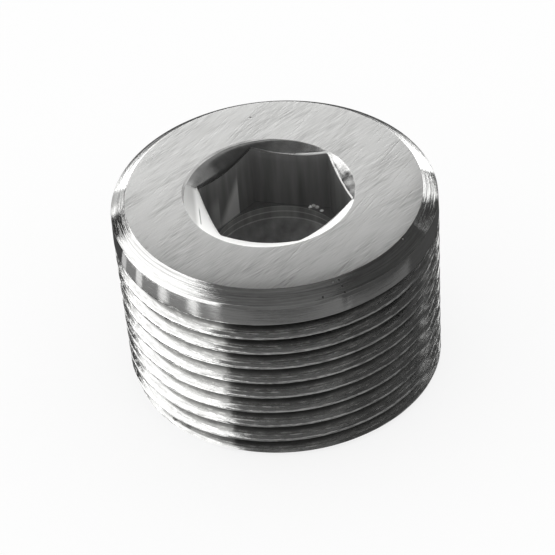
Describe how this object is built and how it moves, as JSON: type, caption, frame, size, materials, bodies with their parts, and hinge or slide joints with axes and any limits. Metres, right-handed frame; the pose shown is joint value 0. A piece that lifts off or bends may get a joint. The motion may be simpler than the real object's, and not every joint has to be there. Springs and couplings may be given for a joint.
{
  "type": "blanking plug",
  "caption": "Headless threaded blanking plug with a taper thread, a plain band under a chamfered flat top, and a countersunk hexagon socket.",
  "frame": {"origin": "centre of the flat small end, on the plug's axis", "axes": "+Z along the plug's axis, from the small end to the flat top with the socket; X parallel to two flats of the hexagon"},
  "size_m": [0.0336, 0.0336, 0.0216],
  "materials": {
    "steel": "ground flat top with fine straight scratches, turned band and chamfer, cut thread"
  },
  "bodies": {
    "root": {"plug": "steel"}
  },
  "joints": []
}
